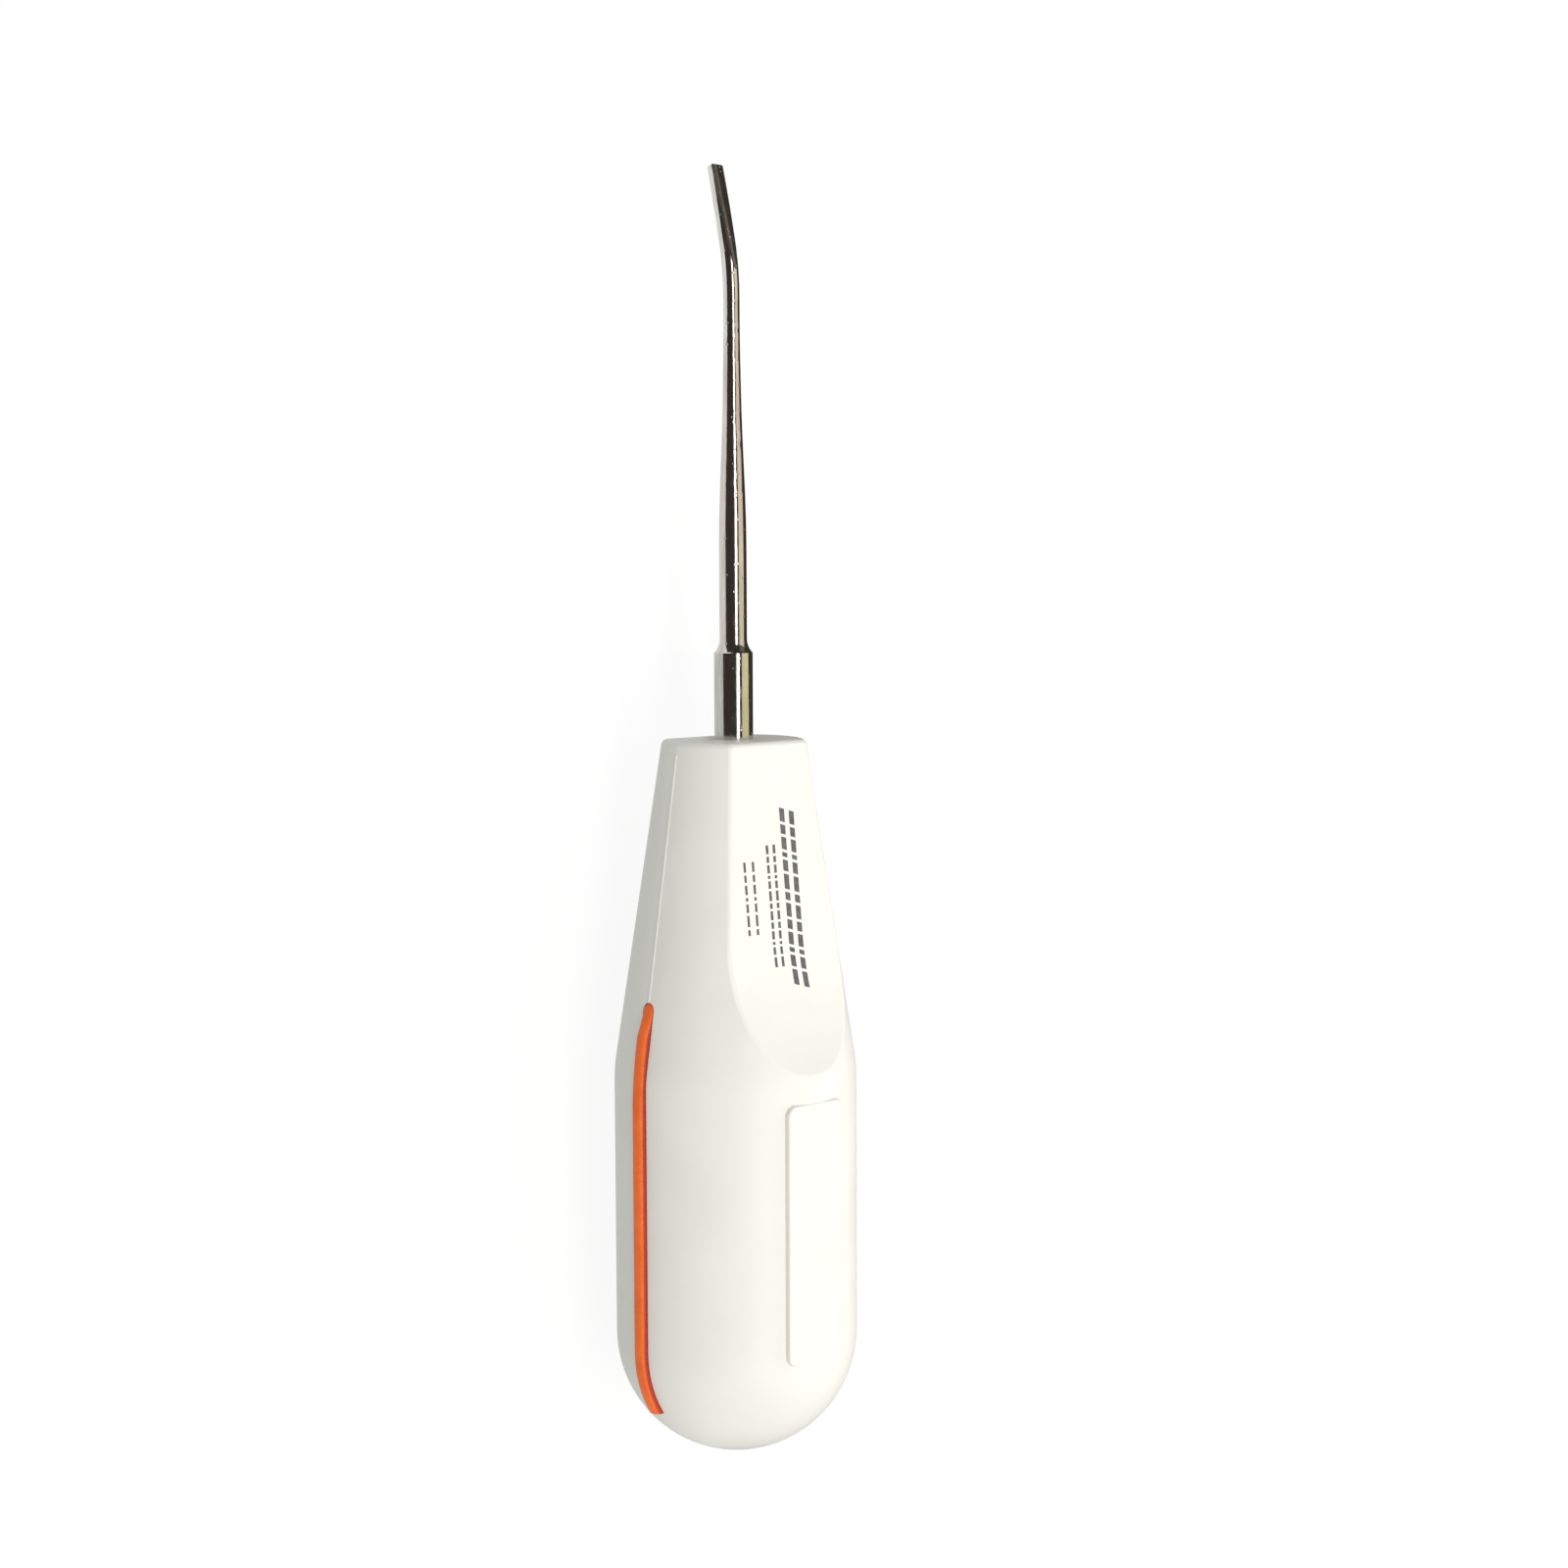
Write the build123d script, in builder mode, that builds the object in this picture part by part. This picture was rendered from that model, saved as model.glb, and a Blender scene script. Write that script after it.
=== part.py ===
from build123d import *
import os
from math import asin, atan2, cos, degrees, radians, sin, sqrt, tan

# Dental elevator (luxating type), lying on a flat surface with its front thumb scoop upwards.
# Millimetres. X runs along the tool from the butt to the tip, Y is across it, Z is up.
# The origin is under the middle of the tool's length, on the surface that the tool lies on.
# A station is a distance along the tool from the end of the butt.

# Handle, outside
tool_length = 160.0
handle_length = 89.6
barrel_radius = 15.15
barrel_end = 48.6  # station where the round barrel meets the tapering neck
barrel_blend_radius = 18.0  # softens the line between the barrel and the neck
neck_top_radius = 8.9
top_rim_radius = 0.8

# Raised flat pads on the barrel, front and rear
pad_start = 14.1
pad_end = 46.2
pad_width = 8.95
pad_height = 0.1  # at its middle
pad_corner_radius = 1.3
pad_edge_radius = 0.25

# Thumb scoops on the neck, front and rear: flat across, then curving up to the barrel
scoop_top_distance = 6.6  # from the tool's axis to the scoop, at the handle's top face
scoop_slope = 0.108
scoop_flat_end = 66.0
scoop_exit = 48.8
scoop_exit_distance = 15.45
scoop_edge_radius = 0.9

# Handle, inside
wall = 2.6
top_wall = 4.0
rib = 1.6
core_end = 47.0  # the butt and barrel are solid up to this station, and the neck is hollow
bed_start = 61.0
bed_radius = 4.2

# Locating pegs on the rear half and their sockets in the front half: (station, across)
peg_radius = 1.0
peg_boss_radius = 2.3
peg_height = 2.5
peg_gap = 0.1
peg_places = ((20.0, 0.0), (44.0, 0.0), (60.0, 7.2), (60.0, -7.2))

# Flash ridge along the seam of the neck
ridge_width = 0.2
ridge_height = 0.1

# Coloured strips in the seam, each with a wider foot that the two halves hold
strip_start = 6.9
strip_end = 58.0
strip_width = 1.85
strip_proud = 0.9
strip_depth = 1.0
strip_ramp = 4.0
strip_bend_radius = 55.0  # where the bead turns from the barrel to the neck
strip_crown_radius = 0.7
strip_end_radius = 0.85
foot_width = 3.2
foot_depth = 0.8
strip_gap = 0.1

# Steel blade, one piece: tang, collar, shank, bent gouge
tang_end = 64.0
tang_flats_end = 80.0
tang_radius = 2.2
tang_thickness = 3.4
tang_gap = 0.05
tang_mouth = 0.2  # countersink round the hole in the handle's top face
tang_chamfer = 0.4
collar_radius = 2.4
collar_end = 100.4
collar_chamfer = 0.12
flare_radius = 2.6
shank_start = 101.9
shank_radius = 1.7
taper_start = 113.0
taper_middle = 127.4
taper_middle_radius = 1.26
bar_start = 143.5
bar_radius = 1.0
bend_end = 151.0
bend_angle = 13.2

# Ground tip: heights are measured from the bar's centre line, square to it
face_height = 0.3
face_slope = 0.06
back_height = -0.42
back_length = 8.0
gouge_radius = 0.95
gouge_depth = 0.38
tip_arch = 0.4

# Cross pin through the tang
pin_station = 68.0
pin_radius = 1.0
pin_half_length = 3.8
pin_gap = 0.03

# Places
butt_x = -tool_length / 2
axis_height = barrel_radius + pad_height
axis_start = (butt_x, 0, axis_height)
tool_axis = Axis(axis_start, (1, 0, 0))
side = Plane(axis_start, x_dir=(1, 0, 0), z_dir=(0, -1, 0))  # local x is the station, local y is up
seam = Plane(axis_start, x_dir=(1, 0, 0), z_dir=(0, 0, 1))  # local x is the station, local y is across
bend_radius = (bend_end - bar_start) / sin(radians(bend_angle))
bend_drop = bend_radius * (1 - cos(radians(bend_angle)))
tip_station = tool_length - (face_height - gouge_depth) * sin(radians(bend_angle))
tip_length = (tip_station - bend_end) / cos(radians(bend_angle))
tip_point = (
    butt_x + tip_station,
    0,
    axis_height - bend_drop - (tip_station - bend_end) * tan(radians(bend_angle)),
)
tip_direction = (cos(radians(bend_angle)), 0, -sin(radians(bend_angle)))
tip_side = Plane(tip_point, x_dir=tip_direction, z_dir=(0, -1, 0))  # local x past the tip, local y up
tip_face = Plane(tip_point, x_dir=tip_direction, z_dir=(-tip_direction[2], 0, tip_direction[0]))
neck_slope = (barrel_radius - neck_top_radius) / (handle_length - barrel_end)
neck_angle = atan2(barrel_radius - neck_top_radius, handle_length - barrel_end)
beyond = 20.0  # a reach past the handle's surface, for cuts


def across(station):
    """The plane square to the tool at a station: local x is across, local y is up."""
    return Plane((butt_x + station, 0, axis_height), x_dir=(0, 1, 0), z_dir=(1, 0, 0))


def neck_radius(station, outset=0.0):
    """The neck's radius at a station, for a surface that lies outset outside the real one."""
    return neck_top_radius + (handle_length - station) * neck_slope + outset / cos(neck_angle)


def dome_radius(station, outset=0.0):
    """The dome's radius at a station, for a surface that lies outset outside the real one."""
    return sqrt((barrel_radius + outset) ** 2 - (barrel_radius - station) ** 2)


def surface_radius(station):
    """The handle's radius at a station, away from its scoops and pads."""
    if station < barrel_radius:
        return dome_radius(station)
    return min(barrel_radius, neck_radius(station))


def outline(outset, start, end):
    """Draws the handle's outline, moved outwards by outset, from a station on the dome to one on the neck."""
    radius = barrel_radius + outset
    corner = barrel_end + outset * tan(neck_angle / 2)
    sweep_angle = degrees(asin((barrel_radius - start) / radius))
    CenterArc((barrel_radius, 0), radius, 90, sweep_angle)
    Line((barrel_radius, radius), (corner, radius))
    Line((corner, radius), (end, neck_radius(end, outset)))


def seam_band(inner, outer, start, end, thickness, bend=0.0):
    """A band on the left that follows the handle's outline between two outsets, centred on the seam."""
    with BuildPart() as band:
        with BuildSketch(seam) as profile:
            with BuildLine():
                outline(outer, start, end)
                outline(inner, start, end)
                Line((start, dome_radius(start, inner)), (start, dome_radius(start, outer)))
                Line((end, neck_radius(end, inner)), (end, neck_radius(end, outer)))
            make_face()
            if bend:
                fillet(profile.vertices().group_by(Axis.Y)[-1].sort_by(Axis.X)[-1], bend)
        extrude(amount=thickness / 2, both=True)
    return band.part


def scoop_cutter(depth):
    """The space above the front scoop, reaching depth deeper than the scoop's surface."""
    start = handle_length + beyond
    with BuildPart() as cutter:
        with BuildSketch(side):
            with BuildLine():
                top_distance = scoop_top_distance - (start - handle_length) * scoop_slope - depth
                flat_distance = scoop_top_distance + (handle_length - scoop_flat_end) * scoop_slope - depth
                exit_distance = scoop_exit_distance - depth
                flat = Line((start, top_distance), (scoop_flat_end, flat_distance))
                rise = TangentArc((flat @ 1, (scoop_exit, exit_distance)), tangent=flat % 1)
                Polyline(rise @ 1, (scoop_exit, 2 * beyond), (start, 2 * beyond), flat @ 0)
            make_face()
        extrude(amount=beyond, both=True)
    return cutter.part


def pad():
    """A flat raised pad on the front of the barrel, with rounded corners and a softened edge."""
    with BuildPart() as raised:
        with BuildSketch(seam.offset(barrel_radius - wall / 2)):
            with Locations(((pad_start + pad_end) / 2, 0)):
                RectangleRounded(pad_end - pad_start, pad_width, pad_corner_radius)
        extrude(amount=pad_height + wall / 2)
        fillet(raised.faces().sort_by(Axis.Z)[-1].edges(), pad_edge_radius)
    return raised.part


def tang(gap, end):
    """The tang with gap all round, up to a station: a round root, and two flats along its inner part."""
    with BuildPart() as bar:
        with BuildSketch(across(tang_end - gap)):
            Circle(tang_radius + gap)
        extrude(amount=end - tang_end + gap)
        with BuildSketch(across(tang_end - gap)):
            flat_middle = tang_thickness / 2 + gap + beyond / 2
            with Locations((flat_middle, 0), (-flat_middle, 0)):
                Rectangle(beyond, beyond)
        extrude(amount=tang_flats_end - tang_end + gap, mode=Mode.SUBTRACT)
    return bar.part


def hollow():
    """The space inside the neck, less its web, tang bed and peg bosses."""
    cavity_end = handle_length - top_wall
    inner_radius = barrel_radius - wall
    corner = barrel_end - wall * tan(neck_angle / 2)
    with BuildPart() as space:
        with BuildSketch(side):
            with BuildLine():
                Polyline(
                    (core_end, 0),
                    (core_end, inner_radius),
                    (corner, inner_radius),
                    (cavity_end, neck_radius(cavity_end, -wall)),
                    (cavity_end, 0),
                    close=True,
                )
            make_face()
        revolve(axis=tool_axis)
        cutter = scoop_cutter(wall)
        add(cutter, mode=Mode.SUBTRACT)
        add(mirror(cutter, about=seam, mode=Mode.PRIVATE), mode=Mode.SUBTRACT)
        with BuildSketch(across(bed_start)):
            Circle(bed_radius)
        extrude(amount=handle_length - bed_start, mode=Mode.SUBTRACT)
        with BuildSketch(seam):
            with Locations((handle_length / 2, 0)):
                Rectangle(handle_length, rib)
            with Locations(peg_places):
                Circle(peg_boss_radius)
        extrude(amount=beyond, both=True, mode=Mode.SUBTRACT)
    return space.part


def strip_slots():
    """The slots in the seam for both strips, with room for their feet."""
    end = strip_end + strip_gap
    root = -strip_depth - foot_depth - strip_gap
    with BuildPart() as slots:
        add(seam_band(root, strip_proud + 1, strip_start, end, strip_width + 2 * strip_gap))
        front_end = slots.faces().sort_by(Axis.X)[-1]
        fillet(front_end.edges().filter_by(Axis.Y), strip_end_radius + strip_gap)
        add(seam_band(root, strip_gap - strip_depth, strip_start, end, foot_width + 2 * strip_gap))
        mirror(about=Plane.XZ)
    return slots.part


def seam_ridge():
    """The fine ridges of flash along the seam on both sides of the neck."""
    with BuildPart() as ridge:
        with BuildSketch(seam):
            with BuildLine():
                start = strip_end
                end = handle_length - 2 * top_rim_radius
                Polyline(
                    (start, neck_radius(start, ridge_height)),
                    (end, neck_radius(end, ridge_height)),
                    (end, neck_radius(end, -wall / 2)),
                    (start, neck_radius(start, -wall / 2)),
                    close=True,
                )
            make_face()
        extrude(amount=ridge_width / 2, both=True)
        mirror(about=Plane.XZ)
    return ridge.part


# The blade, from tang to tip in one piece of steel
with BuildPart() as blade:
    # Collar, flare and tapering shank, round about the tool's axis
    with BuildSketch(side):
        with BuildLine():
            Polyline(
                (bar_start, bar_radius),
                (bar_start, 0),
                (handle_length, 0),
                (handle_length, collar_radius),
                (collar_end - collar_chamfer, collar_radius),
                (collar_end, collar_radius - collar_chamfer),
            )
            RadiusArc((collar_end, collar_radius - collar_chamfer), (shank_start, shank_radius), -flare_radius)
            Line((shank_start, shank_radius), (taper_start, shank_radius))
            Spline(
                (taper_start, shank_radius),
                (taper_middle, taper_middle_radius),
                (bar_start, bar_radius),
                tangents=((1, 0), (1, 0)),
            )
        make_face()
    revolve(axis=tool_axis)
    # The thin end of the bar, bent backwards and then straight
    with BuildLine(side) as bent_line:
        bend = JernArc((bar_start, 0), (1, 0), bend_radius, -bend_angle)
        Line(bend @ 1, bend @ 1 + (bend % 1) * (tip_length + bar_radius))
    with BuildSketch(across(bar_start)):
        Circle(bar_radius)
    sweep(path=bent_line.wires()[0])
    # The face, ground flat, and the thinner back
    with BuildSketch(tip_side):
        with BuildLine():
            start = -2 * tip_length
            Polyline(
                (bar_radius, face_height - bar_radius * face_slope),
                (start, face_height - start * face_slope),
                (start, beyond),
                (bar_radius, beyond),
                close=True,
            )
        make_face()
        with BuildLine():
            back_slope = (bar_radius + back_height) / back_length
            Polyline(
                (bar_radius, back_height + bar_radius * back_slope),
                (-back_length - bar_radius, back_height - (back_length + bar_radius) * back_slope),
                (bar_radius, -beyond / 2),
                close=True,
            )
        make_face()
    extrude(amount=2 * bar_radius, both=True, mode=Mode.SUBTRACT)
    # The hollow of the gouge, a round groove along the face
    groove_plane = Plane(
        tip_point,
        x_dir=(0, 1, 0),
        z_dir=tip_side.from_local_coords(Vector(-1, face_slope, 0)) - Vector(tip_point),
    )
    with BuildSketch(groove_plane.offset(-bar_radius)):
        with Locations((0, -(face_height + gouge_radius - gouge_depth))):
            Circle(gouge_radius)
    extrude(amount=2 * tip_length, mode=Mode.SUBTRACT)
    # The cutting end, arched across the blade
    with BuildSketch(tip_face):
        with BuildLine():
            ThreePointArc((-tip_arch, -bar_radius), (0, 0), (-tip_arch, bar_radius))
            Polyline(
                (-tip_arch, bar_radius),
                (-tip_arch, 2 * bar_radius),
                (2 * bar_radius, 2 * bar_radius),
                (2 * bar_radius, -2 * bar_radius),
                (-tip_arch, -2 * bar_radius),
                (-tip_arch, -bar_radius),
            )
        make_face()
    extrude(amount=2 * bar_radius, both=True, mode=Mode.SUBTRACT)
    # The tang, with the hole for the cross pin
    add(tang(0, handle_length))
    chamfer(blade.faces().sort_by(Axis.X)[0].edges(), tang_chamfer)
    with BuildSketch(seam):
        with Locations((pin_station, 0)):
            Circle(pin_radius + pin_gap)
    extrude(amount=2 * collar_radius, both=True, mode=Mode.SUBTRACT)
blade.part.label = "blade"

# The handle in one piece, before it is parted along the seam
with BuildPart() as handle:
    with BuildSketch(seam) as half_profile:
        with BuildLine():
            outline(0, 0, handle_length)
            Polyline((handle_length, neck_top_radius), (handle_length, 0), (0, 0))
        make_face()
        fillet(half_profile.vertices().group_by(Axis.Y)[-1].sort_by(Axis.X)[-1], barrel_blend_radius)
    revolve(axis=tool_axis)
    scoop = scoop_cutter(0)
    add(scoop, mode=Mode.SUBTRACT)
    add(mirror(scoop, about=seam, mode=Mode.PRIVATE), mode=Mode.SUBTRACT)
    fillet(handle.faces().sort_by(Axis.X)[-1].edges(), top_rim_radius)
    scoop_edges = handle.edges().filter_by(
        lambda edge: edge.geom_type in (GeomType.BSPLINE, GeomType.HYPERBOLA) and edge.length > rib
    )
    fillet(scoop_edges.filter_by_position(Axis.X, butt_x + barrel_end, 10), scoop_edge_radius)
    front_pad = pad()
    add(front_pad)
    add(mirror(front_pad, about=seam, mode=Mode.PRIVATE))
    add(seam_ridge())
    add(hollow(), mode=Mode.SUBTRACT)
    add(tang(tang_gap, handle_length + beyond), mode=Mode.SUBTRACT)
    top_face = handle.faces().sort_by(Axis.X)[-1]
    chamfer(top_face.inner_wires()[0].edges(), tang_mouth)
    add(strip_slots(), mode=Mode.SUBTRACT)
    with BuildSketch(seam):
        with Locations((pin_station, 0)):
            Circle(pin_radius + pin_gap)
    extrude(amount=pin_half_length + pin_gap, both=True, mode=Mode.SUBTRACT)

# The front half, with sockets for the locating pegs
with BuildPart() as handle_front:
    add(handle.part)
    split(bisect_by=seam, keep=Keep.TOP)
    with BuildSketch(seam):
        with Locations(peg_places):
            Circle(peg_radius + peg_gap)
    extrude(amount=peg_height + peg_gap, mode=Mode.SUBTRACT)
handle_front.part.label = "handle_front"

# The rear half, with the locating pegs
with BuildPart() as handle_rear:
    add(handle.part)
    split(bisect_by=seam, keep=Keep.BOTTOM)
    with BuildSketch(seam.offset(-rib)):
        with Locations(peg_places):
            Circle(peg_radius)
    extrude(amount=peg_height + rib)
handle_rear.part.label = "handle_rear"

# The left strip: a rounded bead that ramps down at its front end, on a wider foot
with BuildPart() as strip_left:
    add(seam_band(-strip_depth, strip_proud, strip_start, strip_end, strip_width, strip_bend_radius))
    with BuildSketch(seam):
        with BuildLine():
            ramp_start = strip_end - strip_ramp
            Polyline(
                (ramp_start, neck_radius(ramp_start, strip_proud)),
                (strip_end, neck_radius(strip_end, ridge_height)),
                (strip_end + rib, neck_radius(strip_end, beyond)),
                (ramp_start, neck_radius(ramp_start, beyond)),
                close=True,
            )
        make_face()
    extrude(amount=strip_width, both=True, mode=Mode.SUBTRACT)
    front_end = strip_left.faces().sort_by(Axis.X)[-1]
    fillet(front_end.edges().filter_by(Axis.Y), strip_end_radius)
    long_edges = strip_left.edges().filter_by(lambda edge: abs((edge % 0.5).Z) < 0.99)
    crown_edges = long_edges.filter_by(
        lambda edge: (edge @ 0.5).Y > surface_radius((edge @ 0.5).X - butt_x) + ridge_height / 2
    )
    fillet(crown_edges, strip_crown_radius)
    add(seam_band(-strip_depth - foot_depth, -strip_depth, strip_start, strip_end, foot_width))
strip_left.part.label = "strip_left"

# The right strip
with BuildPart() as strip_right:
    add(mirror(strip_left.part, about=Plane.XZ, mode=Mode.PRIVATE))
strip_right.part.label = "strip_right"

# The cross pin that holds the tang
with BuildPart() as tang_pin:
    with BuildSketch(seam):
        with Locations((pin_station, 0)):
            Circle(pin_radius)
    extrude(amount=pin_half_length, both=True)
    chamfer(tang_pin.edges().filter_by(GeomType.CIRCLE), pin_radius / 4)
tang_pin.part.label = "tang_pin"

os.makedirs("parts", exist_ok=True)
export_step(blade.part, "parts/blade.step")
export_step(handle_front.part, "parts/handle_front.step")
export_step(handle_rear.part, "parts/handle_rear.step")
export_step(strip_left.part, "parts/strip_left.step")
export_step(strip_right.part, "parts/strip_right.step")
export_step(tang_pin.part, "parts/tang_pin.step")
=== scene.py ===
"""Looks for the dental elevator: finishes on the CAD parts, printed marks, studio and camera.

Metres, in the CAD frame: X runs along the tool from its butt to its tip, and Z is up.
"""

import math

import bmesh
import bpy
from mathutils import Matrix, Vector
from mathutils.bvhtree import BVHTree


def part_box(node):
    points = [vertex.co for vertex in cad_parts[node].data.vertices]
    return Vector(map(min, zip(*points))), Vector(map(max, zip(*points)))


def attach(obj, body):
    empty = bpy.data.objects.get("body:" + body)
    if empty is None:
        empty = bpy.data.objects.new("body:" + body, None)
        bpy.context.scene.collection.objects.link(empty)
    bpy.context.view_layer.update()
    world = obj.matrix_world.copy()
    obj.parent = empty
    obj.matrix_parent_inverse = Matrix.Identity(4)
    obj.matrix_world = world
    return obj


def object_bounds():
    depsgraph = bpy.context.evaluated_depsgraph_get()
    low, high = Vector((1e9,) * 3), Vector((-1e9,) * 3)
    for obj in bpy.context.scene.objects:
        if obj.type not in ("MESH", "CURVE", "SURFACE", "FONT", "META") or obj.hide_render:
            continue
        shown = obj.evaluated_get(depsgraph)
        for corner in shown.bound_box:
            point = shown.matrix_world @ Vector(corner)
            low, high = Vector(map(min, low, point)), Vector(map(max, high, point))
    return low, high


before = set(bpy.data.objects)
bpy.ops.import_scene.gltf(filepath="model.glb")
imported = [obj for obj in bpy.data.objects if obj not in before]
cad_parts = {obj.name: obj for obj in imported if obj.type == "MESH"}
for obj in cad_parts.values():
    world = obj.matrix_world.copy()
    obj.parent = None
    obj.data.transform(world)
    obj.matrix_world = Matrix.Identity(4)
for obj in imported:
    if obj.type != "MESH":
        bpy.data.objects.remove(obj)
cad_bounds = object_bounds()

MM = 0.001
ALONG = Vector((1, 0, 0))
butt_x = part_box("handle_rear")[0].x
axis_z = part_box("handle_front")[0].z


def station(distance_mm):
    """World x of a distance along the tool from the end of its butt."""
    return butt_x + distance_mm * MM


def round_tool(azimuth):
    """Unit vector square to the tool, at an angle in degrees from straight up towards +Y."""
    return Vector((0, math.sin(math.radians(azimuth)), math.cos(math.radians(azimuth))))


def link(item):
    bpy.context.scene.collection.objects.link(item)


# ---------------------------------------------------------------- camera
CAMERA_AZIMUTH = 41.2  # degrees round the tool, from the front scoop towards +Y
CAMERA_STATION = 113.7
CAMERA_DISTANCE = 330.7  # millimetres from the tool's axis
CAMERA_SIDE = 6.2  # millimetres off that line, to the right
CAMERA_TILT = 5.14  # degrees, down towards the butt
CAMERA_TWIST = -0.22  # degrees about the line of sight
CAMERA_CLIP = (0.01, 20)
SENSOR = 36.0
LENS = 61.43


def make_camera():
    out = round_tool(CAMERA_AZIMUTH)
    right = ALONG.cross(out)
    tilt = math.radians(CAMERA_TILT)
    place = Vector((station(CAMERA_STATION), 0, axis_z))
    place += (out * CAMERA_DISTANCE + right * CAMERA_SIDE) * MM
    back = out * math.cos(tilt) + ALONG * math.sin(tilt)
    turn = Matrix((right, back.cross(right), back)).transposed()
    turn = turn @ Matrix.Rotation(math.radians(CAMERA_TWIST), 3, "Z")
    data = bpy.data.cameras.new("camera")
    data.sensor_width = SENSOR
    data.lens = LENS
    data.clip_start, data.clip_end = CAMERA_CLIP
    camera = bpy.data.objects.new("camera", data)
    camera.matrix_world = Matrix.Translation(place) @ turn.to_4x4()
    link(camera)
    bpy.context.scene.camera = camera


# ---------------------------------------------------------------- node helpers
NOISE_SPAN = (0.3, 0.7)  # nearly all of a noise's values lie between these
PIT_FLOOR = 0.4  # share of a pit's radius that is flat


class Nodes:
    """A new material with short calls for its nodes."""

    def __init__(self, name):
        self.material = bpy.data.materials.new(name)
        self.material.use_nodes = True
        self.tree = self.material.node_tree
        self.shader = self.tree.nodes["Principled BSDF"]
        self.place = self.add("ShaderNodeTexCoord").outputs["Object"]

    def add(self, kind, **settings):
        node = self.tree.nodes.new(kind)
        for key, value in settings.items():
            setattr(node, key, value)
        return node

    def link(self, source, target):
        self.tree.links.new(source, target)

    def set(self, **values):
        """Puts plain values on the shader's sockets."""
        for key, value in values.items():
            self.shader.inputs[key.replace("_", " ")].default_value = value

    def drive(self, **sources):
        """Links node outputs to the shader's sockets."""
        for key, source in sources.items():
            self.link(source, self.shader.inputs[key.replace("_", " ")])

    def stretched(self, factors):
        """Object coordinates, scaled along each axis."""
        mapping = self.add("ShaderNodeMapping")
        mapping.inputs["Scale"].default_value = factors
        self.link(self.place, mapping.inputs["Vector"])
        return mapping.outputs["Vector"]

    def noise(self, size_mm, detail=2.0, along=1):
        """Noise with features about size_mm across, longer along the tool if along is below 1."""
        node = self.add("ShaderNodeTexNoise")
        node.inputs["Scale"].default_value = 1 / (size_mm * MM)
        node.inputs["Detail"].default_value = detail
        self.link(self.stretched((along, 1, 1)), node.inputs["Vector"])
        return node.outputs["Fac"]

    def ramp(self, source, *stops):
        """A colour ramp. Each stop is (position, grey or colour)."""
        node = self.add("ShaderNodeValToRGB")
        for element, (position, colour) in zip(node.color_ramp.elements, stops):
            element.position = position
            colour = colour if isinstance(colour, tuple) else (colour, colour, colour)
            element.color = (*colour, 1)
        self.link(source, node.inputs["Fac"])
        return node.outputs["Color"]

    def between(self, noise, low, high):
        """A noise, spread between two greys or colours."""
        return self.ramp(noise, (NOISE_SPAN[0], low), (NOISE_SPAN[1], high))

    def bump(self, source, depth_mm, strength, under=None):
        """A bump of a depth, on top of another."""
        node = self.add("ShaderNodeBump")
        node.inputs["Distance"].default_value = depth_mm * MM
        node.inputs["Strength"].default_value = strength
        self.link(source, node.inputs["Height"])
        if under:
            self.link(under, node.inputs["Normal"])
        return node.outputs["Normal"]

    def pits(self, size_mm, share):
        """White with small dark round pits: the share is the pits' radius over the cells' size."""
        node = self.add("ShaderNodeTexVoronoi")
        node.inputs["Scale"].default_value = 1 / (size_mm * MM)
        self.link(self.stretched((1, 1, 1)), node.inputs["Vector"])
        return self.ramp(node.outputs["Distance"], (share * PIT_FLOOR, 0.0), (share, 1.0))

    def off_seam(self):
        """Distance from the plane between the handle's halves."""
        place = self.add("ShaderNodeSeparateXYZ")
        height = self.add("ShaderNodeMath", operation="SUBTRACT")
        spread = self.add("ShaderNodeMath", operation="ABSOLUTE")
        height.inputs[1].default_value = axis_z
        self.link(self.place, place.inputs["Vector"])
        self.link(place.outputs["Z"], height.inputs[0])
        self.link(height.outputs["Value"], spread.inputs[0])
        return spread.outputs["Value"]


# ---------------------------------------------------------------- materials
SHARP_ANGLE = 28.0  # degrees between faces, above which their edge stays sharp
WHITE_TINTS = (0.84, 0.84, 0.775), (0.875, 0.865, 0.805)
ORANGE_TINTS = (0.84, 0.125, 0.012), (0.95, 0.175, 0.022)
# Painted shade: the dark red that the inlay turns near its edges, standing in for the shadow in
# its slot.
ORANGE_PAINTED_SHADE = (0.40, 0.022, 0.008, 1)
INLAY_PAINTED_SHADE_BAND = (0.8, 0.94)  # millimetres from the seam, between which painted shade darkens the inlay towards its edges
STEEL_TINTS = (0.56, 0.535, 0.505), (0.72, 0.695, 0.665)
PIN_GREYS = 0.5, 0.6
INK_TINTS = (0.085, 0.085, 0.09), (0.15, 0.15, 0.155)


def white_plastic():
    """Satin moulded plastic: faint patches of tint and gloss, a slight swell and a fine grain."""
    m = Nodes("white_plastic")
    m.set(IOR=1.5)
    swell = m.bump(m.noise(3.0, detail=1), depth_mm=0.02, strength=0.35)
    m.drive(
        Base_Color=m.between(m.noise(9, detail=3), *WHITE_TINTS),
        Roughness=m.between(m.noise(0.9, detail=3), 0.36, 0.5),
        Normal=m.bump(m.noise(0.22, detail=3), depth_mm=0.004, strength=0.6, under=swell),
    )
    return m.material


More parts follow.
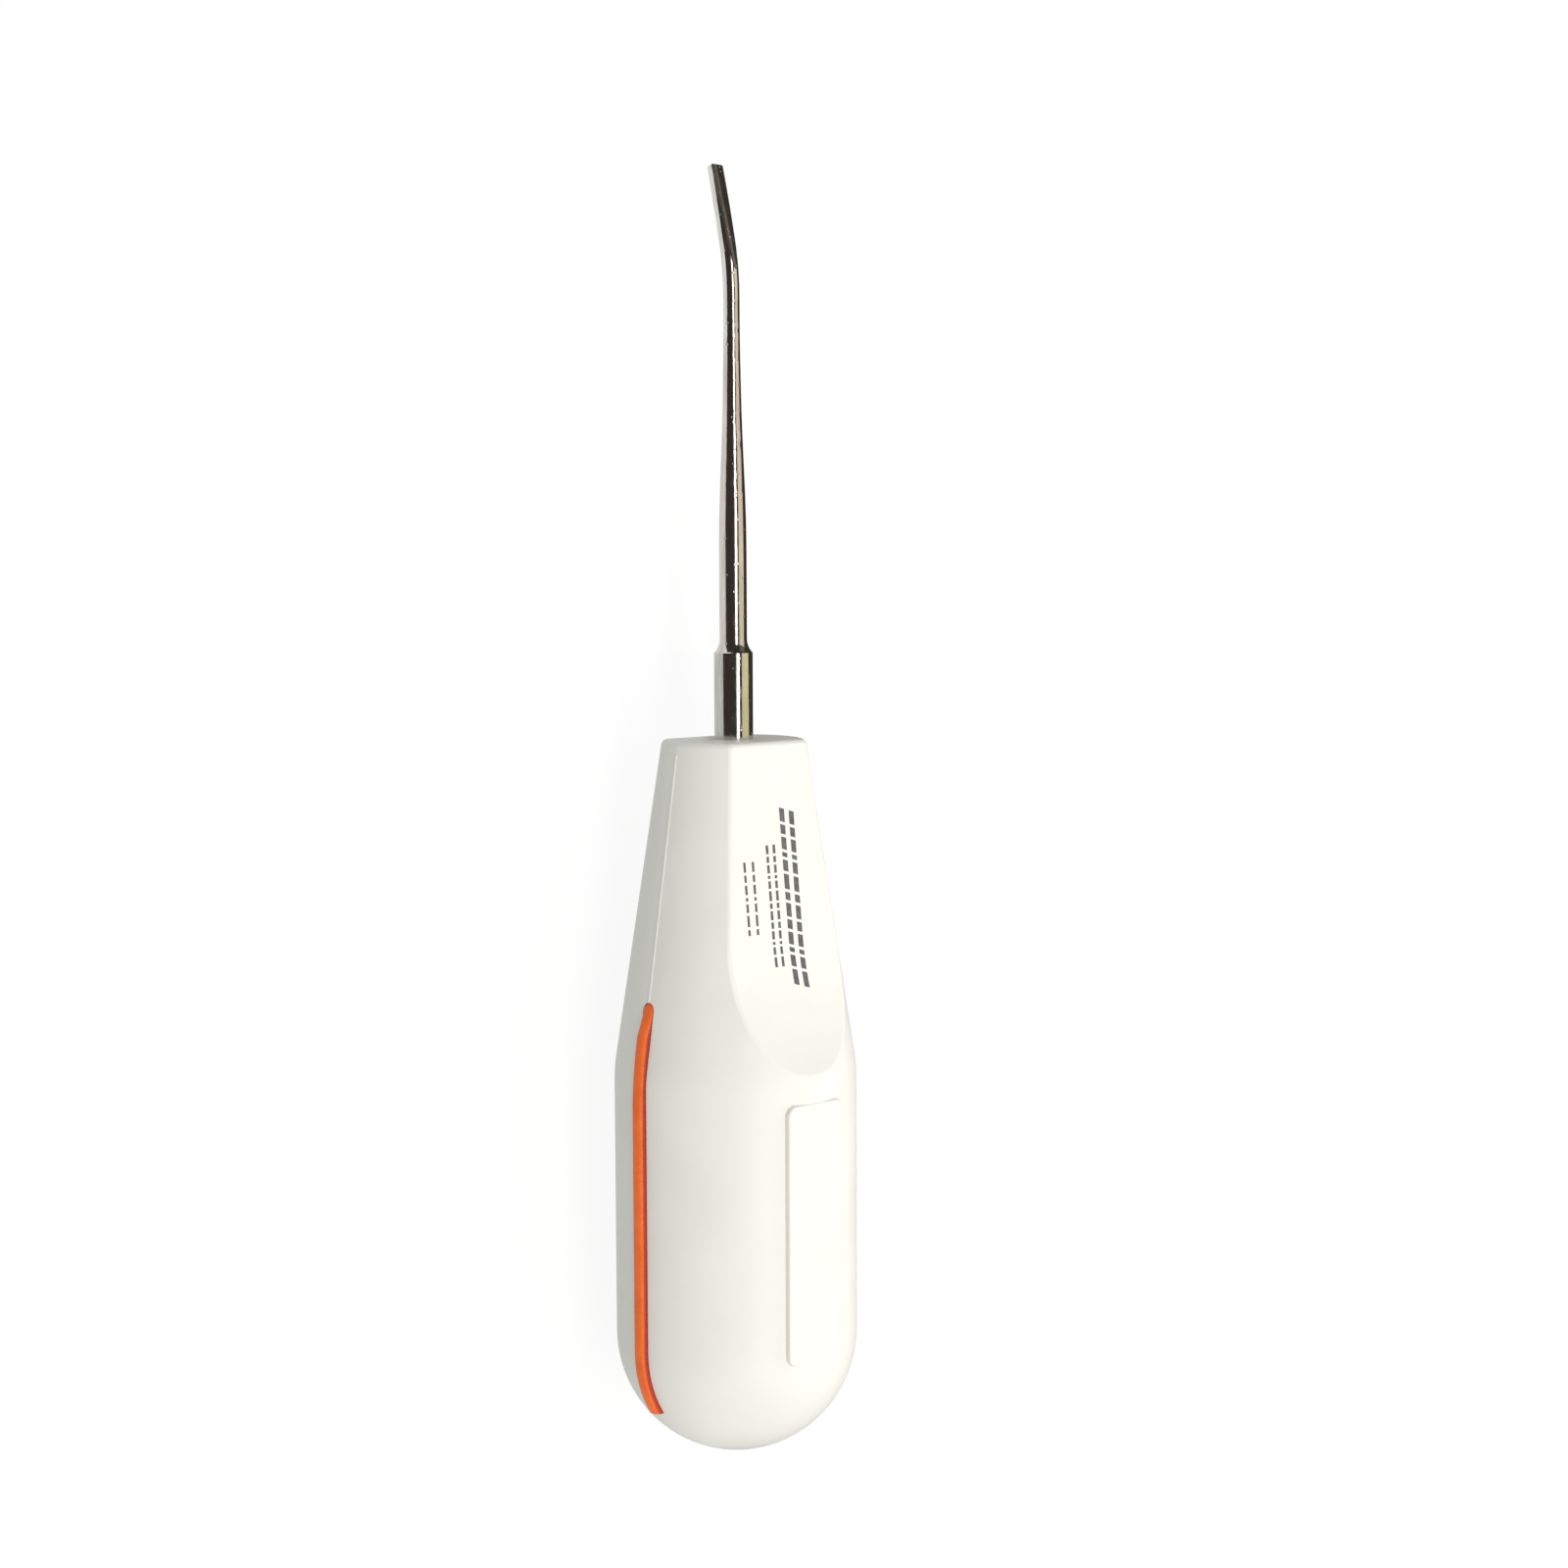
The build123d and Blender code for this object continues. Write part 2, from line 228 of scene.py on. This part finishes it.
def orange_inlay():
    """Glossy orange rubber, lighter along its crown, with painted shade: dark red towards its
    edges, for the shadow in its slot.
    """
    m = Nodes("orange_inlay")
    m.set(IOR=1.48)
    # Painted shade: the inlay darkens to dark red between these distances from the seam.
    painted_shade_ramp = m.add("ShaderNodeMapRange")
    painted_shade_ramp.inputs["From Min"].default_value = INLAY_PAINTED_SHADE_BAND[0] * MM
    painted_shade_ramp.inputs["From Max"].default_value = INLAY_PAINTED_SHADE_BAND[1] * MM
    m.link(m.off_seam(), painted_shade_ramp.inputs["Value"])
    shade = m.add("ShaderNodeMix", data_type="RGBA")
    m.link(painted_shade_ramp.outputs["Result"], shade.inputs["Factor"])
    m.link(m.between(m.noise(2.5, detail=3), *ORANGE_TINTS), shade.inputs["A"])
    shade.inputs["B"].default_value = ORANGE_PAINTED_SHADE
    m.drive(
        Base_Color=shade.outputs["Result"],
        Roughness=m.between(m.noise(0.6), 0.22, 0.34),
        Normal=m.bump(m.noise(0.3), depth_mm=0.006, strength=0.6),
    )
    return m.material


def polished_steel():
    """Bright steel with grinding lines, streaks and ripples along it, and a few small pits."""
    m = Nodes("polished_steel")
    m.set(Metallic=1.0)
    grind = m.bump(m.noise(0.12, detail=3, along=0.12), depth_mm=0.002, strength=0.5)
    streaks = m.bump(m.noise(0.45, along=0.07), depth_mm=0.008, strength=0.5, under=grind)
    ripple = m.bump(m.noise(0.8, detail=3, along=0.45), depth_mm=0.01, strength=0.5, under=streaks)
    m.drive(
        Base_Color=m.between(m.noise(0.7, detail=3, along=0.12), *STEEL_TINTS),
        Roughness=m.between(m.noise(0.5, detail=3, along=0.3), 0.07, 0.2),
        Normal=m.bump(m.pits(0.7, share=0.2), depth_mm=0.03, strength=0.6, under=ripple),
    )
    return m.material


def pin_steel():
    """Plain drawn steel."""
    m = Nodes("pin_steel")
    m.set(Metallic=1.0)
    m.drive(
        Base_Color=m.between(m.noise(0.8), *PIN_GREYS),
        Roughness=m.between(m.noise(0.3), 0.3, 0.45),
    )
    return m.material


def print_ink():
    """Dark grey ink of uneven strength."""
    m = Nodes("print_ink")
    m.drive(
        Base_Color=m.between(m.noise(0.5, detail=3), *INK_TINTS),
        Roughness=m.between(m.noise(0.2), 0.5, 0.7),
    )
    return m.material


def dress(material, *names):
    """Puts a material on CAD nodes and shades them smooth, with their edges kept sharp."""
    for name in names:
        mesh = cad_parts[name].data
        mesh.materials.clear()
        mesh.materials.append(material)
        mesh.shade_smooth()
        mesh.set_sharp_from_angle(angle=math.radians(SHARP_ANGLE))


# ---------------------------------------------------------------- printed marks
# Rows of paired bars, in millimetres: first and last station, middle and height across the tool,
# a bar's width and the gap after it. The last number is the row's slant.
MARK_ROWS = (
    (81.2, 59.5, -2.0, 2.3, 0.78, 0.36, 0.3),
    (77.1, 62.0, 1.0, 1.5, 0.4, 0.3, 0.0),
    (75.3, 65.3, 4.65, 1.7, 0.36, 0.36, 0.0),
)
BAR_LENGTHS = (0.72, 0.5, 0.66, 0.24, 0.6, 0.8, 0.42)  # of the row's height, used in turn
BAR_STEPS = 2
INK_ABOVE = 0.02  # millimetres that a bar stands proud of the scoop
INK_BELOW = 0.04  # millimetres that it goes into it
RAY_START = 0.01  # metres above the tool, from which the scoop's surface is looked for


def make_marks():
    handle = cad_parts["handle_front"]
    surface = BVHTree.FromObject(handle, bpy.context.evaluated_depsgraph_get())
    above = cad_bounds[1][2] + RAY_START
    down = Vector((0, 0, -1))
    grid = bmesh.new()

    def layer(corners, offset_mm):
        """Points of one bar's upper or lower side, on the scoop."""
        rows = []
        for step in range(BAR_STEPS + 1):
            t = step / BAR_STEPS
            row = []
            for near, far in ((corners[0], corners[1]), (corners[3], corners[2])):
                s, y = (a + (b - a) * t for a, b in zip(near, far))
                hit = surface.ray_cast(Vector((station(s), y * MM, above)), down)[0]
                row.append(grid.verts.new(hit + Vector((0, 0, offset_mm * MM))))
            rows.append(row)
        return rows

    def bar(s, length, middle, low, high, slant):
        """One thin solid bar of ink, from low to high across the tool."""
        near, far, end = (low - middle) * slant, (high - middle) * slant, s - length
        corners = (s + far, high), (end + far, high), (end + near, low), (s + near, low)
        top, bottom = layer(corners, INK_ABOVE), layer(corners, -INK_BELOW)
        for i in range(BAR_STEPS):
            grid.faces.new((top[i][0], top[i][1], top[i + 1][1], top[i + 1][0]))
            grid.faces.new((bottom[i + 1][0], bottom[i + 1][1], bottom[i][1], bottom[i][0]))
            grid.faces.new((top[i + 1][0], bottom[i + 1][0], bottom[i][0], top[i][0]))
            grid.faces.new((top[i][1], bottom[i][1], bottom[i + 1][1], top[i + 1][1]))
        grid.faces.new((top[0][1], top[0][0], bottom[0][0], bottom[0][1]))
        grid.faces.new((top[-1][0], top[-1][1], bottom[-1][1], bottom[-1][0]))

    for first, last, middle, height, width, gap, slant in MARK_ROWS:
        low, high = middle - height / 2, middle + height / 2
        s, n = first, 0
        while s - BAR_LENGTHS[n % len(BAR_LENGTHS)] * height > last:
            length = BAR_LENGTHS[n % len(BAR_LENGTHS)] * height
            bar(s, length, middle, low, low + width, slant)
            bar(s, length, middle, high - width, high, slant)
            s -= length + gap
            n += 1
    bmesh.ops.recalc_face_normals(grid, faces=grid.faces)
    mesh = bpy.data.meshes.new("print_marks")
    grid.to_mesh(mesh)
    grid.free()
    mesh.materials.append(print_ink())
    marks = bpy.data.objects.new("print_marks", mesh)
    link(marks)
    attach(marks, "root")


# ---------------------------------------------------------------- studio
FLOOR_HALF = 3.0  # metres
FLOOR_GLOW = (0.86, 0.86, 0.86)
FLOOR_ALBEDO = 0.12
WORLD_SEEN = (0.93, 0.93, 0.93, 1)
WORLD_FILL = (0.54, 0.54, 0.54, 1)
WORLD_REFLECTED = (0.05, 0.04, 0.033, 1)
CARD_SPAN = (-0.008, 0.062)  # metres across the tool
CARD_Z = 0.0002

# Reflectors that lie beside the tool: name, first and last x, and glow.
CARDS = (
    ("card_collar", -0.3, station(100), (0.67, 0.72, 0.67)),
    ("card_shank", station(100), station(140), (0.90, 0.87, 0.85)),
    ("card_tip", station(140), 0.3, (1.03, 1.06, 1.06)),
)

# Soft boxes round the tool: name, azimuth in degrees, distance, width, first and last x,
# radiance and colour. A group differs in which rays see it.
LIGHTS_FOR_ALL = (("overhead_strip", 12.2, 0.7, 0.195, -0.75, 0.41, 3.0, (1, 1, 1)),)
LIGHTS_FOR_GLOSS = (
    ("collar_softbox", -36.2, 0.6, 0.54, -0.5, station(78), 0.8, (1.0, 0.98, 0.57)),
    ("shank_softbox", -36.2, 0.6, 0.54, station(78), 0.36, 0.94, (1.0, 0.86, 0.68)),
    ("tip_softbox", -42, 0.6, 0.54, 0.36, 0.9, 0.12, (0.98, 1.0, 0.9)),
)
LIGHTS_FOR_MATT = (
    ("broad_key", 17, 0.9, 0.8, -1.2, -0.15, 1.6, (1.0, 0.95, 0.92)),
    ("side_fill", -66, 0.9, 0.7, -0.5, 0.7, 1.7, (1.0, 1.0, 0.98)),
)


def area_light(name, azimuth, distance, width, x_from, x_to, radiance, colour):
    """A soft box square to a ray from the tool's axis, with a given brightness."""
    out = round_tool(azimuth)
    length = x_to - x_from
    data = bpy.data.lights.new(name, "AREA")
    data.shape = "RECTANGLE"
    data.size = length
    data.size_y = width
    data.energy = radiance * math.pi * length * width
    data.color = colour
    light = bpy.data.objects.new(name, data)
    place = Vector(((x_from + x_to) / 2, 0, axis_z)) + out * distance
    turn = Matrix((ALONG, out.cross(ALONG), out)).transposed()
    light.matrix_world = Matrix.Translation(place) @ turn.to_4x4()
    light.visible_camera = False
    link(light)
    return light


def sheet(name, x_span, y_span, z, glow, albedo):
    """A flat sheet of the studio that glows with a colour."""
    (x_from, x_to), (y_from, y_to) = x_span, y_span
    corners = [(x_from, y_from, z), (x_to, y_from, z), (x_to, y_to, z), (x_from, y_to, z)]
    mesh = bpy.data.meshes.new(name)
    mesh.from_pydata(corners, [], [(0, 1, 2, 3)])
    m = Nodes(name)
    m.set(Base_Color=(albedo, albedo, albedo, 1), Roughness=1.0)
    m.set(Emission_Color=(*glow, 1), Emission_Strength=1.0)
    mesh.materials.append(m.material)
    item = bpy.data.objects.new(name, mesh)
    item.visible_diffuse = False
    item.visible_shadow = False
    link(item)
    return item


def make_floor():
    """A pale floor that only the camera sees."""
    span = (-FLOOR_HALF, FLOOR_HALF)
    floor = sheet("floor", span, span, 0, FLOOR_GLOW, FLOOR_ALBEDO)
    floor.visible_glossy = False


def make_cards():
    """Reflectors that are seen only in the steel."""
    for name, x_from, x_to, glow in CARDS:
        card = sheet(name, (x_from, x_to), CARD_SPAN, CARD_Z, glow, 0)
        card.visible_camera = False


def make_lights():
    for row in LIGHTS_FOR_ALL:
        area_light(*row)
    for row in LIGHTS_FOR_GLOSS:
        area_light(*row).visible_diffuse = False
    for row in LIGHTS_FOR_MATT:
        area_light(*row).visible_glossy = False


def make_world():
    """Pale to the camera, dim in reflections, and a soft fill for matt surfaces."""
    world = bpy.data.worlds.new("studio")
    bpy.context.scene.world = world
    world.use_nodes = True
    nodes, links = world.node_tree.nodes, world.node_tree.links
    rays = nodes.new("ShaderNodeLightPath")

    def choose(ray, otherwise, colour):
        """A mix that gives its colour to one kind of ray."""
        mix = nodes.new("ShaderNodeMix")
        mix.data_type = "RGBA"
        links.new(rays.outputs[ray], mix.inputs["Factor"])
        if isinstance(otherwise, tuple):
            mix.inputs["A"].default_value = otherwise
        else:
            links.new(otherwise, mix.inputs["A"])
        mix.inputs["B"].default_value = colour
        return mix.outputs["Result"]

    unseen = choose("Is Glossy Ray", WORLD_FILL, WORLD_REFLECTED)
    seen = choose("Is Camera Ray", unseen, WORLD_SEEN)
    links.new(seen, nodes["Background"].inputs["Color"])


make_camera()
make_world()
make_floor()
make_cards()
make_lights()
bpy.context.scene.view_settings.view_transform = "Standard"

dress(white_plastic(), "handle_front", "handle_rear")
dress(orange_inlay(), "strip_left", "strip_right")
dress(polished_steel(), "blade")
dress(pin_steel(), "tang_pin")
make_marks()
